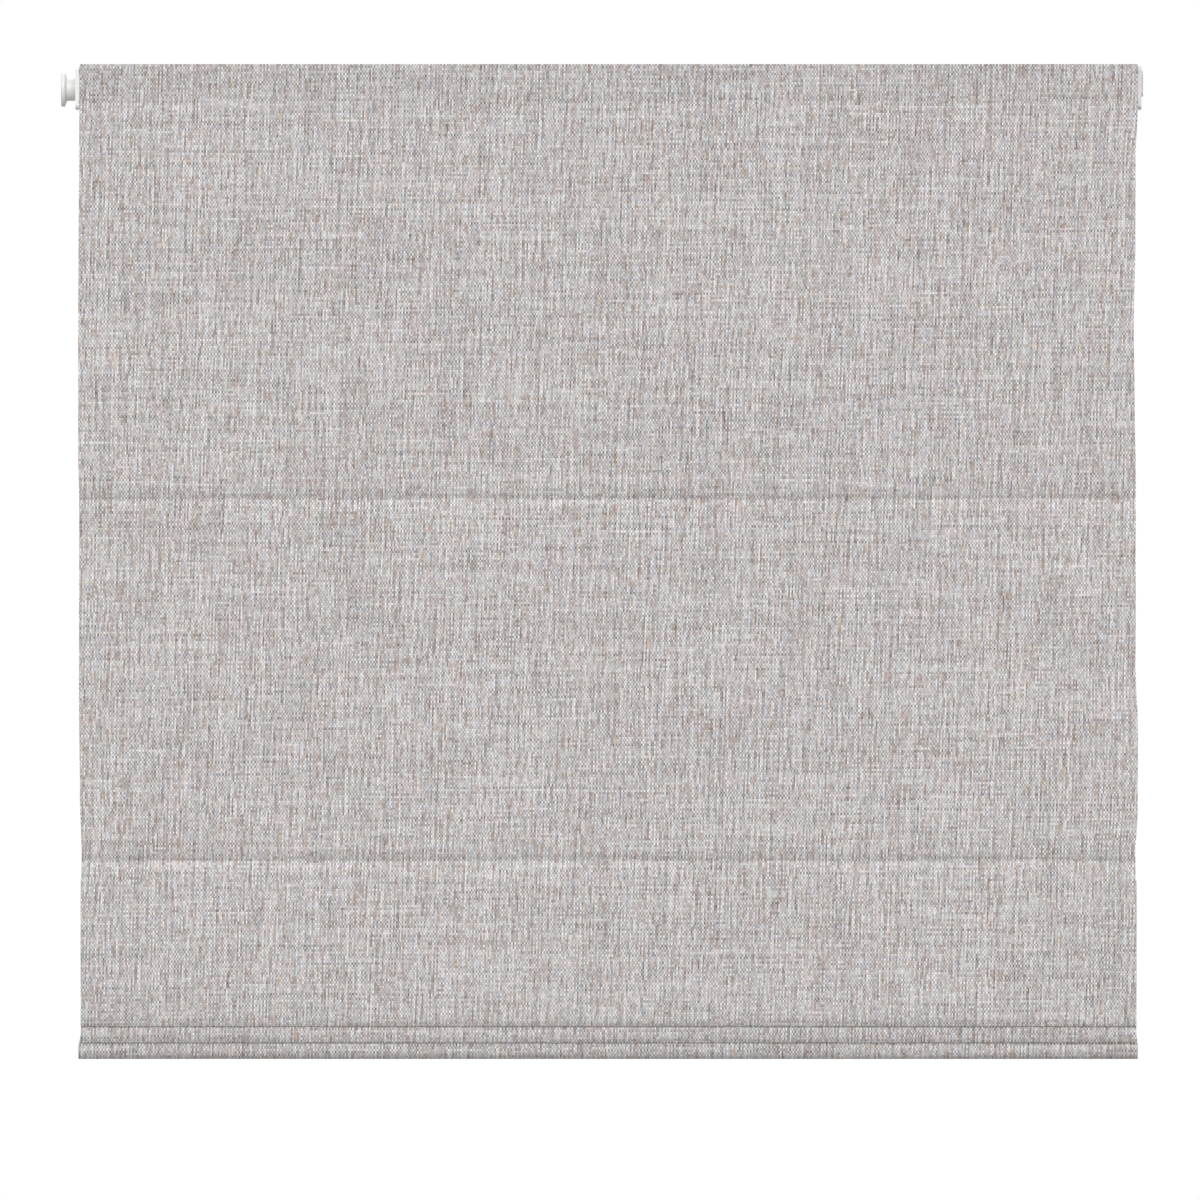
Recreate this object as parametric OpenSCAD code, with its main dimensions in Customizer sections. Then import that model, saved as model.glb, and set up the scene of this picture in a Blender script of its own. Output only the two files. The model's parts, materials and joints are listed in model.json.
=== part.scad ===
// Roman blind on a headrail with a control wheel, drawn part of the way up.
// Two flat panels hang above two folds and a hemmed flap, each a little lower than the one before it.
// Millimetres. X runs along the headrail, Y from the room to the wall and Z up.
// The origin is the middle of the wall fixing, on the face of the wall.

/* [Cloth] */
// Width of the cloth, and length of the headrail
blind_w = 1000; // [700:10:1600]
// Cloth from its top edge down to the first rod
top_panel = 411; // [300:1:600]
// Cloth from the first rod down to the second
second_panel = 342; // [280:1:450]
// Drop of the front fold below the second rod
fold_drop = 156; // [120:1:220]
// How far each fold hangs below the one in front of it
cascade = 15.5; // [12:0.5:22]
// Thickness of the cloth
cloth_t = 1; // [0.6:0.1:1.4]
// Depth of the crease that a rod pulls into the cloth
crease_d = 3; // [1:0.1:4]
// Height of that crease above and below its rod
crease_h = 10; // [6:1:16]
// How far the front fold leans out into the room
fold_lean = 1; // [0.5:0.1:4]
// How far a fold's lower edge lies behind its front
edge_back = 4.5; // [3.5:0.1:5]
// Height over which a fold's front curves back to that edge
edge_rise = 9; // [7:0.5:10]
// Radius of the turn behind that edge
edge_r = 0.9; // [0.8:0.1:1.4]
// Radius of the cloth where it turns down under a raised rod
turn_r = 1.5; // [1.2:0.1:2]

/* [Rods and rings] */
// Diameter of a rod
rod_d = 5; // [4:0.5:7]
// Thickness of the tape sewn round a rod
tape_t = 0.7; // [0.5:0.1:1]
// Height of the seam between that tape and the cloth
seam_h = 1; // [0.6:0.1:2]
// Distance between rods that are drawn up together
stack_pitch = 13; // [12.5:0.5:18]
// Hole in a cord ring
ring_hole_d = 9; // [8:0.5:11]
// Thickness of a cord ring
ring_wire_d = 2; // [1.6:0.1:2.4]
// Diameter of the cord that rings, exits and spools are made for
cord_d = 1.4; // [1:0.1:1.8]
// Outer rings and spools from the cloth's side edges
lift_inset = 100; // [80:5:200]

/* [Hem] */
// Thickness of the hem bar
hem_bar_t = 5; // [4:0.5:6]
// Height of the hem bar
hem_bar_h = 22; // [18:1:40]
// Wall of the hem bar
hem_bar_wall = 1.2; // [0.8:0.1:1.4]
// Room in the pocket in front of the hem bar and behind it
hem_room = 1.35; // [1.2:0.05:1.6]
// Height over which the pocket narrows to its lower edge
hem_rise = 10; // [8:0.5:12]
// Height of the seam above the hem bar
hem_seam_h = 8; // [5:1:14]

/* [Headrail] */
// Wall of the headrail
rail_wall = 1.5; // [1.2:0.1:2]
// Cloth's top edge above the headrail
rail_below_top = 3; // [2.6:0.1:5]
// Lips that the spool cradles rest on
rail_lip = 6; // [4:0.5:8]
// Axis of the drive shaft below the cloth's top edge
shaft_below_top = 23; // [22:0.5:30]
// Side of the square drive shaft
shaft_side = 6; // [5:0.5:7]
// Height of the hook and loop tapes
hook_tape_h = 24; // [16:1:25]
// Thickness of each of those tapes
hook_tape_t = 1.75; // [1.5:0.05:2]

/* [Spools] */
// Diameter of a spool's barrel
spool_d = 16; // [13:0.5:18]
// Length of a spool between its flanges
spool_len = 36; // [30:1:44]
// Diameter of a spool's flanges
spool_flange_d = 22; // [20.5:0.5:23]
// Diameter of a spool's journals
journal_d = 12; // [11:0.5:13]
// Wall of a spool cradle
cradle_wall = 2.5; // [2:0.1:3]

/* [Control end] */
// Diameter of the control wheel's flange
wheel_d = 33; // [30:0.5:36]
// Diameter of the control wheel's hub
hub_d = 21.7; // [20:0.1:25]
// Width of the smooth drum beside the flange
drum_w = 8; // [6.5:0.1:10]
// Width of the bevel inside the flange
bevel_w = 2.2; // [1:0.1:3]
// Thickness of the flange's rim
rim_w = 3.4; // [2:0.1:5]
// Diameter of the control wheel's spindle
spindle_d = 8; // [7:0.5:9]
// Diameter of the brake core that the wrap springs grip
core_d = 18; // [16:0.5:19]
// Length of that core
core_len = 30; // [28:1:36]
// Thickness of the wrap springs' wire
spring_wire = 1.1; // [0.8:0.1:1.4]
// Turns of one wrap spring
spring_turns = 8; // [6:1:9]
// Wall of the clutch sleeve round the springs
sleeve_wall = 1.8; // [1.4:0.1:2.4]

/* [End plates] */
// Thickness of the control end plate
control_plate_t = 3.6; // [3:0.1:5]
// Thickness of the idle end plate
idle_plate_t = 3.4; // [2:0.1:5]
// Height of the raised pad on the idle end plate
idle_pad_t = 2; // [1:0.1:3]
// Corner radius of an end plate
plate_r = 4; // [2:0.5:6]
// How far an end plate stands above the headrail
plate_over_top = 2; // [0.5:0.1:2.5]
// How far an end plate stands below the headrail
plate_over_bottom = 4.8; // [2:0.1:6]
// Length of an end plate's spigot inside the headrail
spigot_len = 8; // [6:1:12]
// Diameter of an end plate's screws
plate_screw_d = 2.9; // [2.5:0.1:3.2]

/* [Wall brackets] */
// Headrail's back from the wall
wall_gap = 10; // [8:0.5:16]
// Width of a bracket
bracket_w = 30; // [24:1:40]
// Thickness of a bracket's sheet
bracket_t = 2; // [1.5:0.1:2]
// Brackets from the ends of the headrail
bracket_inset = 170; // [140:5:240]
// Diameter of the wall screws' holes
wall_hole_d = 4.5; // [4:0.1:5.5]
// Distance between a bracket's two holes
wall_hole_pitch = 20; // [16:1:22]

/* [Fits] */
// Room between cloth and what is sewn to it or hangs by it
soft_gap = 0.3; // [0.2:0.05:0.5]
// Room round a turning journal
running_gap = 0.1; // [0.05:0.01:0.2]
// Room round a part that slides or snaps into another
slip_gap = 0.15; // [0.1:0.05:0.3]

/* [Hidden] */
$fn = 64;
eps = 0.01;

CLOTH = [0.75, 0.73, 0.72];
WHITE = [0.93, 0.93, 0.92];
TAPE = [0.88, 0.87, 0.85];
STEEL = [0.7, 0.71, 0.72];
ALUMINIUM = [0.78, 0.79, 0.8];
CLEAR = [0.86, 0.88, 0.9];

// Heights. The wall fixing is level with the middle of the headrail.
clutch_room = 0.8;
spigot_t = 1.6;
clutch_back_room = slip_gap + spigot_t + 0.45;
core_r = core_d / 2;
spring_r = core_r + running_gap + spring_wire;
sleeve_in_r = spring_r + 2 * running_gap;
sleeve_r = sleeve_in_r + sleeve_wall;
rail_h = shaft_below_top - rail_below_top + sleeve_r + clutch_room + rail_wall;
cloth_top = rail_h / 2 + rail_below_top;
rail_top = cloth_top - rail_below_top;
rail_bottom = rail_top - rail_h;
shaft_z = cloth_top - shaft_below_top;

// Depths behind the middle of the cloth, before the cloth itself is placed.
tape_r = rod_d / 2 + slip_gap + tape_t;
sew_offset = cloth_t / 2 + soft_gap + seam_h + tape_r;
fold_gap = 1;
rod_behind = crease_d + sew_offset;
last_rod_behind = rod_behind + turn_r + cloth_t / 2 + fold_gap + tape_r;
ring_r = ring_hole_d / 2 + ring_wire_d / 2;
ring_offset = tape_r + soft_gap + ring_r + ring_wire_d / 2;
lift_behind = (rod_behind + last_rod_behind) / 2 + ring_offset;
cord_r = cord_d / 2;
spool_r = spool_d / 2;
shaft_behind = lift_behind + cord_r + soft_gap + spool_r;
rail_behind = cloth_t / 2 + 2 * hook_tape_t;
rail_d = shaft_behind + sleeve_r + clutch_back_room + rail_wall - rail_behind;

// Places along Y. The wall's face is at zero and the room is on the negative side.
cloth_y = -(wall_gap + rail_d + rail_behind);
rail_front = cloth_y + rail_behind;
rail_back = rail_front + rail_d;
shaft_y = cloth_y + shaft_behind;
lift_y = cloth_y + lift_behind;

// Rods, from the top one down. The last three are drawn up together.
second_rod_z = cloth_top - top_panel - second_panel;
rod_zs = [cloth_top - top_panel, second_rod_z, second_rod_z - stack_pitch, second_rod_z - 2 * stack_pitch];
rod_count = len(rod_zs);
function rod_y(i) = cloth_y + (i < rod_count - 1 ? rod_behind : last_rod_behind);
cap_len = 8;
cap_inset = 3.5;
cap_wall = 0.9;
rod_len = blind_w - 2 * (cap_inset + cap_wall);
tape_len = blind_w - 2 * (cap_inset + cap_len + soft_gap);

// Lower edges of the front fold, the rear fold and the hem.
edge_zs = [for (i = [0:2]) second_rod_z - fold_drop - i * cascade];
rear_fold_front = -fold_lean + edge_back + edge_r + cloth_t + soft_gap + 0.1;
hem_r = hem_bar_t / 2 + slip_gap + cloth_t / 2 + hem_room;
hem_front = rear_fold_front + edge_back + edge_r + cloth_t + 0.8;
hem_y = cloth_y + hem_front + hem_r;
hem_low_z = edge_zs[2] + cloth_t / 2 + 0.4 * hem_rise;
hem_high_z = hem_low_z + hem_bar_h - hem_bar_t;

// Rings and spools along the headrail. A ring's hole, a cradle's exit and a spool's front are in line.
lift_xs = [-blind_w / 2 + lift_inset, 0, blind_w / 2 - lift_inset];
flange_t = 1.6;
ramp_w = 4;
journal_len = cradle_wall + 2;
cradle_half = spool_len / 2 + flange_t + 0.5;
cradle_floor = 2.5;
rail_inside_d = rail_d - 2 * rail_wall;

// Grooves that the wall brackets snap into.
groove_depth = 1.2;
groove_h = 2.4;
groove_below_top = 2.8;
port_r = 2.9;
port_inset = rail_wall + port_r;

// The control end, measured inwards from the headrail's left end.
rail_left = -blind_w / 2;
rail_right = blind_w / 2;
spring_len = spring_turns * spring_wire;
spring_space = 1.5;
spring_start = 4;
sleeve_start = 3;
sleeve_end = core_len + 16;
spindle_square_start = core_len + 0.5;
shaft_start = core_len + 8.5;
spindle_end = shaft_start - 0.5;
drive_r = (shaft_side / 2 + slip_gap) * sqrt(2) + 1.4;

// The idle end, measured inwards from the headrail's right end.
idle_bore_r = shaft_side * 0.75 + 1.6 + running_gap;
idle_boss_r = idle_bore_r + 2.6;
idle_boss_len = 16;
idle_journal_len = 20;
idle_floor = 1.2;
pad_half_h = 12.3;
pad_below_top = 17.5;
pad_half_d = 14;

// Shapes in the YZ plane, drawn along X.

module along_x(length) {
    rotate([90, 0, 90])
        linear_extrude(height = length, center = true)
            children();
}

module rod_x(r, length) {
    rotate([0, 90, 0])
        cylinder(r = r, h = length, center = true);
}

module tube_between(r, x0, x1) {
    translate([x0, 0, 0])
        rotate([0, 90, 0])
            cylinder(r = r, h = x1 - x0);
}

module square_between(side, x0, x1) {
    translate([x0, -side / 2, -side / 2])
        cube([x1 - x0, side, side]);
}

module rounded_rect(low, high, r) {
    hull()
        for (a = [low[0] + r, high[0] - r], b = [low[1] + r, high[1] - r])
            translate([a, b])
                circle(r = r);
}

module stadium(t, h, low) {
    translate([0, low])
        circle(d = t);
    translate([-t / 2, low])
        square([t, h - t]);
    translate([0, low + h - t])
        circle(d = t);
}

// The cloth follows one line in the YZ plane, from its top edge to the end of its hem.

function arc_points(centre, r, from, to, steps) =
    [for (i = [0:steps]) let (a = from + (to - from) * i / steps)
        [centre[0] + r * cos(a), centre[1] + r * sin(a)]];

function crease_points(z, from, to, steps) =
    [for (i = [0:steps]) let (d = from + (to - from) * i / steps)
        [crease_d * (1 + cos(180 * d)) / 2, z - crease_h * d]];

function turn_centre(i) =
    [rod_y(i) - cloth_y, rod_zs[i] - tape_r - seam_h - soft_gap - cloth_t / 2 - turn_r];

// A fold's front curves back to its lower edge, and the cloth turns up again close behind that edge.
function edge_front(front, low) =
    [for (i = [0:6]) let (a = 180 + 15 * i)
        [front + edge_back * (1 + cos(a)), low + edge_rise * (1 + sin(a))]];

function edge_turn(middle, low) =
    [for (i = [1:4]) let (a = 270 + 22.5 * i)
        [middle + edge_r * cos(a), low + edge_r * (1 + sin(a))]];

function lower_edge(front, z) =
    concat(edge_front(front, z + cloth_t / 2), edge_turn(front + edge_back, z + cloth_t / 2));

// The hem's pocket is wider than its bar and narrows towards the bottom.
function pocket_points(low) =
    [for (i = [0:12]) let (a = 180 + 15 * i)
        [hem_front + hem_r * (1 + cos(a)), low + hem_rise * (1 + sin(a))]];

function over_rod(i) = arc_points(turn_centre(i), turn_r, 180, 0, 6);

cloth_line = concat(
    [[0, cloth_top]],
    crease_points(rod_zs[0], -1, 1, 10),
    crease_points(rod_zs[1], -1, 1, 10),
    lower_edge(-fold_lean, edge_zs[0]),
    over_rod(2),
    lower_edge(rear_fold_front, edge_zs[1]),
    over_rod(3),
    [[hem_front, hem_high_z + 3 * hem_seam_h]],
    pocket_points(edge_zs[2] + cloth_t / 2),
    arc_points([hem_front + hem_r, hem_high_z], hem_r, 0, 60, 3),
    [[hem_front + cloth_t + soft_gap, hem_high_z + hem_r + hem_seam_h / 2],
        [hem_front + cloth_t + soft_gap, hem_high_z + hem_r + hem_seam_h]]
);

function unit(v) = v / norm(v);

function side_point(line, i, d) =
    let (last = len(line) - 1)
    let (before = unit(line[max(i, 1)] - line[max(i, 1) - 1]))
    let (after = unit(line[min(i, last - 1) + 1] - line[min(i, last - 1)]))
    let (along = unit(before + after))
    let (reach = d / max(0.5, along * before))
    line[i] + reach * [-along[1], along[0]];

function sheet_outline(line, t) = concat(
    [for (i = [0:len(line) - 1]) side_point(line, i, t / 2)],
    [for (i = [len(line) - 1:-1:0]) side_point(line, i, -t / 2)]);

module fabric() {
    color(CLOTH)
        translate([0, cloth_y, 0])
            along_x(blind_w)
                polygon(sheet_outline(cloth_line, cloth_t));
}

// The cloth's top edge is held to the headrail by a pair of tapes.

tape_top = rail_top - groove_below_top - groove_h - 2;

module fixing_tape(y) {
    translate([-blind_w / 2, y, tape_top - hook_tape_h])
        cube([blind_w, hook_tape_t, hook_tape_h]);
}

module loop_tape() {
    color(TAPE)
        fixing_tape(cloth_y + cloth_t / 2);
}

module hook_tape() {
    color(TAPE)
        fixing_tape(cloth_y + cloth_t / 2 + hook_tape_t);
}

// The headrail is a channel that is open below, with grooves for the brackets and ports for the end screws.

module headrail_section() {
    difference() {
        union() {
            difference() {
                translate([rail_front, rail_bottom])
                    square([rail_d, rail_h]);
                translate([rail_front + rail_wall, rail_bottom + rail_wall])
                    square([rail_inside_d, rail_h - 2 * rail_wall]);
                translate([rail_front + rail_lip, rail_bottom - eps])
                    square([rail_d - 2 * rail_lip, rail_wall + 2 * eps]);
            }
            for (y = [rail_front, rail_back - groove_depth - rail_wall])
                translate([y, rail_top - groove_below_top - groove_h - rail_wall])
                    square([groove_depth + rail_wall, groove_h + groove_below_top + rail_wall]);
            for (y = [rail_front + port_inset + groove_depth, rail_back - port_inset - groove_depth])
                translate([y, rail_top - port_inset])
                    circle(r = port_r);
        }
        for (y = [rail_front - eps, rail_back - groove_depth])
            translate([y, rail_top - groove_below_top - groove_h])
                square([groove_depth + eps, groove_h]);
        for (y = [rail_front + port_inset + groove_depth, rail_back - port_inset - groove_depth])
            translate([y, rail_top - port_inset])
                circle(d = plate_screw_d);
    }
}

module headrail() {
    color(WHITE)
        along_x(blind_w)
            headrail_section();
}

// End plates close the headrail. Each has a spigot, two countersunk screws and a bearing for the shaft.

plate_front = rail_front - 2.8;
plate_back = rail_back + 2;
screw_ys = [rail_front + port_inset + groove_depth, rail_back - port_inset - groove_depth];
screw_z = rail_top - port_inset;
screw_head_r = plate_screw_d;
screw_head_h = 1.6;
screw_reach = 12;

module plate_blank(t) {
    rotate([90, 0, 90])
        linear_extrude(height = t)
            rounded_rect([plate_front, rail_bottom - plate_over_bottom],
                [plate_back, rail_top + plate_over_top], plate_r);
}

// A rim that plugs into the headrail below its screw ports.
module spigot() {
    top = rail_top - port_inset - port_r - slip_gap;
    low = rail_bottom + rail_wall + slip_gap;
    front = rail_front + rail_wall + slip_gap;
    deep = rail_inside_d - 2 * slip_gap;
    for (y = [front, front + deep - spigot_t])
        translate([0, y, low])
            cube([spigot_len, spigot_t, top - groove_below_top - groove_h - low]);
}

module plate_screw_holes(t) {
    for (y = screw_ys)
        translate([0, y, screw_z]) {
            tube_between(plate_screw_d / 2 + slip_gap, -eps, t + eps);
            tube_between(screw_head_r + slip_gap, -eps, screw_head_h + slip_gap);
        }
}

module control_end_plate() {
    color(WHITE)
        difference() {
            union() {
                translate([rail_left - control_plate_t, 0, 0])
                    plate_blank(control_plate_t);
                translate([rail_left, 0, 0])
                    spigot();
                translate([0, shaft_y, shaft_z])
                    tube_between(core_r, rail_left - eps, rail_left + core_len);
            }
            translate([0, shaft_y, shaft_z])
                tube_between(spindle_d / 2 + running_gap, rail_left - control_plate_t - 1,
                    rail_left + core_len + 1);
            translate([rail_left - control_plate_t, 0, 0])
                plate_screw_holes(control_plate_t);
        }
}

module idle_end_plate() {
    pad_z = cloth_top - pad_below_top;
    color(WHITE)
        difference() {
            union() {
                translate([rail_right, 0, 0])
                    plate_blank(idle_plate_t);
                translate([rail_right + idle_plate_t, 0, 0])
                    rotate([90, 0, 90])
                        linear_extrude(height = idle_pad_t)
                            rounded_rect([shaft_y - pad_half_d, pad_z - pad_half_h],
                                [shaft_y + pad_half_d, pad_z + pad_half_h], plate_r);
                translate([rail_right, 0, 0])
                    mirror([1, 0, 0])
                        spigot();
                translate([0, shaft_y, shaft_z])
                    tube_between(idle_boss_r, rail_right - idle_boss_len, rail_right + eps);
            }
            translate([0, shaft_y, shaft_z])
                tube_between(idle_bore_r, rail_right - idle_boss_len - 1, rail_right - idle_floor);
            translate([rail_right + idle_plate_t, 0, 0])
                mirror([1, 0, 0])
                    plate_screw_holes(idle_plate_t);
        }
}

module plate_screw() {
    difference() {
        union() {
            tube_between(screw_head_r, 0, screw_head_h);
            tube_between(plate_screw_d / 2 - slip_gap / 3, screw_head_h - eps, screw_reach);
        }
        for (a = [0, 90])
            rotate([a, 0, 0])
                translate([-eps, -1.6, -0.3])
                    cube([0.9, 3.2, 0.6]);
    }
}

module end_plate_screws() {
    color(STEEL)
        for (y = screw_ys)
            translate([0, y, screw_z]) {
                translate([rail_left - control_plate_t, 0, 0])
                    plate_screw();
                translate([rail_right + idle_plate_t, 0, 0])
                    mirror([1, 0, 0])
                        plate_screw();
            }
}

// A wall bracket is one bent strip: a wall plate, an arm over the headrail and a hooked front lip.

bracket_x = blind_w / 2 - bracket_inset;
arm_gap = 0.2;
lip_t = 1.5;
hook_reach = groove_depth - slip_gap;
bracket_low = -wall_hole_pitch / 2 - 7;

module bracket_section() {
    arm_z = rail_top + arm_gap;
    hook_z = rail_top - groove_below_top - groove_h + slip_gap;
    translate([-bracket_t, bracket_low])
        square([bracket_t, arm_z + bracket_t - bracket_low]);
    translate([rail_front - slip_gap - lip_t, arm_z])
        square([-rail_front + slip_gap + lip_t, bracket_t]);
    translate([rail_front - slip_gap - lip_t, hook_z])
        square([lip_t, arm_z + bracket_t - hook_z]);
    translate([rail_front - slip_gap - lip_t, hook_z])
        square([lip_t + slip_gap + hook_reach, groove_h - 2 * slip_gap]);
}

module bracket_rib() {
    rib = wall_gap - bracket_t - 4.6;
    polygon([[-bracket_t + eps, rail_top + arm_gap + eps], [-bracket_t - rib, rail_top + arm_gap + eps],
        [-bracket_t + eps, rail_top + arm_gap - 2 * rib]]);
}

module wall_bracket(x) {
    color(STEEL)
        translate([x, 0, 0])
            difference() {
                union() {
                    along_x(bracket_w)
                        bracket_section();
                    for (side = [-1, 1])
                        translate([side * (bracket_w / 2 - 3), 0, 0])
                            along_x(2)
                                bracket_rib();
                }
                for (z = [-wall_hole_pitch / 2, wall_hole_pitch / 2])
                    translate([0, 1, z])
                        rotate([90, 0, 0])
                            cylinder(d = wall_hole_d, h = bracket_t + 2);
            }
}

// A snap latch hangs from the arm and grips the groove in the headrail's back.

latch_w = bracket_w - 12;
latch_t = 1.8;

module latch_section() {
    top = rail_top + arm_gap;
    nose_z = rail_top - groove_below_top - groove_h + slip_gap;
    y = rail_back + 2 * slip_gap;
    translate([y, nose_z - 8])
        square([latch_t, top - nose_z + 8]);
    translate([rail_back - hook_reach, nose_z])
        square([hook_reach + 2 * slip_gap + eps, groove_h - 2 * slip_gap]);
    translate([y + eps, nose_z - 8])
        square([2.6, 1.6]);
}

module bracket_latch(x) {
    color(WHITE)
        translate([x, 0, 0])
            along_x(latch_w)
                latch_section();
}

// A cradle stands on the headrail's lips and carries one spool by its journals.

module cradle(x) {
    floor_z = rail_bottom + rail_wall;
    deep = rail_inside_d - 2 * slip_gap;
    front = rail_front + rail_wall + slip_gap;
    wall_top = shaft_z + journal_d / 2 + 2.5;
    color(WHITE)
        translate([x, 0, 0])
            difference() {
                union() {
                    translate([-cradle_half - cradle_wall, front, floor_z])
                        cube([2 * (cradle_half + cradle_wall), deep, cradle_floor]);
                    for (side = [-1, 1])
                        translate([side * (cradle_half + cradle_wall / 2), 0, 0])
                            along_x(cradle_wall)
                                polygon([[front, floor_z], [front + deep, floor_z],
                                    [shaft_y + journal_d / 2 + 3, wall_top],
                                    [shaft_y - journal_d / 2 - 3, wall_top], [front, floor_z + 10]]);
                }
                translate([0, shaft_y, shaft_z])
                    rod_x(journal_d / 2 + running_gap, 4 * cradle_half);
                translate([0, shaft_y, shaft_z])
                    rod_x(spool_flange_d / 2 + 0.6, 2 * cradle_half);
                translate([0, lift_y, floor_z - 1])
                    cylinder(r = cord_r + 0.8, h = cradle_floor + 2);
            }
}

// A spool's ramp pushes the turns of cord along its barrel.

module spool(x) {
    half = spool_len / 2;
    color(WHITE)
        translate([x, shaft_y, shaft_z])
            difference() {
                union() {
                    rod_x(spool_r, spool_len + 2 * eps);
                    for (side = [-1, 1])
                        translate([side * (half + flange_t / 2), 0, 0])
                            rod_x(spool_flange_d / 2, flange_t);
                    translate([-half - eps, 0, 0])
                        rotate([0, 90, 0])
                            cylinder(r1 = spool_flange_d / 2 - 0.6, r2 = spool_r, h = ramp_w);
                    rod_x(journal_d / 2, spool_len + 2 * (flange_t + journal_len));
                }
                square_between(shaft_side + 2 * slip_gap, -2 * half, 2 * half);
            }
}

// The control wheel is a smooth drum with one flange, and its spindle turns in the brake core.

wheel_in = rail_left - control_plate_t - 0.4;
wheel_out = wheel_in - drum_w - bevel_w - rim_w;
wheel_screw_head_r = 3.4;
wheel_recess = 1.6;

module control_wheel() {
    half = wheel_d / 2;
    color(WHITE)
        translate([0, shaft_y, shaft_z])
            difference() {
                union() {
                    translate([wheel_out, 0, 0])
                        rotate([0, 90, 0])
                            rotate_extrude()
                                polygon([[0, 0], [half - 0.8, 0], [half, 0.8], [half, rim_w],
                                    [hub_d / 2, rim_w + bevel_w], [hub_d / 2, rim_w + bevel_w + drum_w],
                                    [0, rim_w + bevel_w + drum_w]]);
                    tube_between(spindle_d / 2, wheel_in - 1, rail_left + spindle_square_start);
                    square_between(shaft_side, rail_left + spindle_square_start - eps,
                        rail_left + spindle_end);
                }
                tube_between(wheel_screw_head_r + slip_gap, wheel_out - eps, wheel_out + wheel_recess);
                tube_between(1.5, wheel_out - eps, wheel_out + 14);
            }
}

module wheel_screw() {
    color(STEEL)
        translate([wheel_out, shaft_y, shaft_z])
            difference() {
                union() {
                    tube_between(wheel_screw_head_r, 0, wheel_recess);
                    tube_between(1.45, wheel_recess - eps, 13);
                }
                for (a = [0, 90])
                    rotate([a, 0, 0])
                        translate([-eps, -2, -0.4])
                            cube([0.9, 4, 0.8]);
            }
}

// Two wrap springs of touching turns grip the brake core, so only the control wheel can turn the shaft.

module wrap_spring() {
    rotate([0, 90, 0])
        rotate_extrude()
            polygon(concat([[core_r + running_gap, 0]],
                [for (i = [0:spring_turns - 1], a = [0, 0.5])
                    [spring_r - (a == 0 ? 0.3 : 0), (i + a) * spring_wire]],
                [[spring_r - 0.3, spring_len], [core_r + running_gap, spring_len]]));
}

module wrap_springs() {
    color(STEEL)
        for (i = [0, 1])
            translate([rail_left + spring_start + i * (spring_len + spring_space), shaft_y, shaft_z])
                wrap_spring();
}

module clutch_sleeve() {
    color(WHITE)
        translate([rail_left, shaft_y, shaft_z])
            difference() {
                union() {
                    tube_between(sleeve_r, sleeve_start, core_len + 3);
                    tube_between(drive_r, core_len + 2, sleeve_end);
                }
                tube_between(sleeve_in_r, sleeve_start - 1, core_len + 0.6);
                square_between(shaft_side + 2 * slip_gap, core_len, sleeve_end + 1);
            }
}

module drive_shaft() {
    color(STEEL)
        translate([0, shaft_y, shaft_z])
            square_between(shaft_side, rail_left + shaft_start, rail_right - idle_floor - 4);
}

module idle_journal() {
    x0 = rail_right - idle_floor - 0.4 - idle_journal_len;
    color(WHITE)
        translate([0, shaft_y, shaft_z])
            difference() {
                union() {
                    tube_between(idle_bore_r - running_gap, x0, x0 + idle_journal_len);
                    tube_between(idle_boss_r, x0, rail_right - idle_boss_len - 0.5);
                }
                square_between(shaft_side + 2 * slip_gap, x0 - 1, rail_right - idle_floor - 3);
            }
}

// Rods in their tapes, from the back of the cloth.

module rod(i) {
    color(WHITE)
        translate([0, rod_y(i), rod_zs[i]])
            rod_x(rod_d / 2, rod_len);
}

// The upper tapes are sewn to the cloth in front of them, and the lower ones to the turn below them.
module rod_tape(i) {
    upright = i > 1;
    color(TAPE)
        translate([0, rod_y(i), rod_zs[i]])
            rotate([upright ? 90 : 0, 0, 0])
                along_x(tape_len)
                    difference() {
                        union() {
                            circle(r = tape_r);
                            translate([-tape_r - seam_h, -0.6])
                                square([tape_r + seam_h, 1.2]);
                        }
                        circle(r = tape_r - tape_t);
                    }
}

module rod_cap() {
    difference() {
        tube_between(tape_r, 0, cap_len);
        tube_between(rod_d / 2 + slip_gap / 2, cap_wall, cap_len + 1);
    }
}

module rod_caps(i) {
    color(CLEAR)
        translate([0, rod_y(i), rod_zs[i]]) {
            translate([-blind_w / 2 + cap_inset, 0, 0])
                rod_cap();
            translate([blind_w / 2 - cap_inset, 0, 0])
                mirror([1, 0, 0])
                    rod_cap();
        }
}

module cord_rings(i) {
    color(CLEAR)
        for (x = lift_xs)
            translate([x, rod_y(i) + ring_offset, rod_zs[i]])
                rotate_extrude()
                    translate([ring_r, 0])
                        circle(d = ring_wire_d, $fn = 32);
}

// The hem bar is a hollow strip with rounded edges and a plug in each end.

hem_plug_len = 10;
hem_plug_head = 2;
hem_bar_len = blind_w - 2 * (hem_plug_head + 1);

module hem_bar() {
    color(ALUMINIUM)
        translate([0, hem_y, 0])
            along_x(hem_bar_len)
                difference() {
                    stadium(hem_bar_t, hem_bar_h, hem_low_z);
                    translate([0, hem_bar_wall])
                        stadium(hem_bar_t - 2 * hem_bar_wall, hem_bar_h - 2 * hem_bar_wall,
                            hem_low_z - hem_bar_wall);
                }
}

module hem_bar_caps() {
    inner = hem_bar_t - 2 * hem_bar_wall - 2 * slip_gap;
    color(WHITE)
        for (side = [-1, 1])
            translate([side * hem_bar_len / 2, hem_y, 0]) {
                translate([side * hem_plug_head / 2, 0, 0])
                    along_x(hem_plug_head)
                        stadium(hem_bar_t, hem_bar_h, hem_low_z);
                translate([-side * (hem_plug_len / 2 - eps), 0, 0])
                    along_x(hem_plug_len)
                        stadium(inner, hem_bar_h - hem_bar_t + inner, hem_low_z);
            }
}

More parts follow.
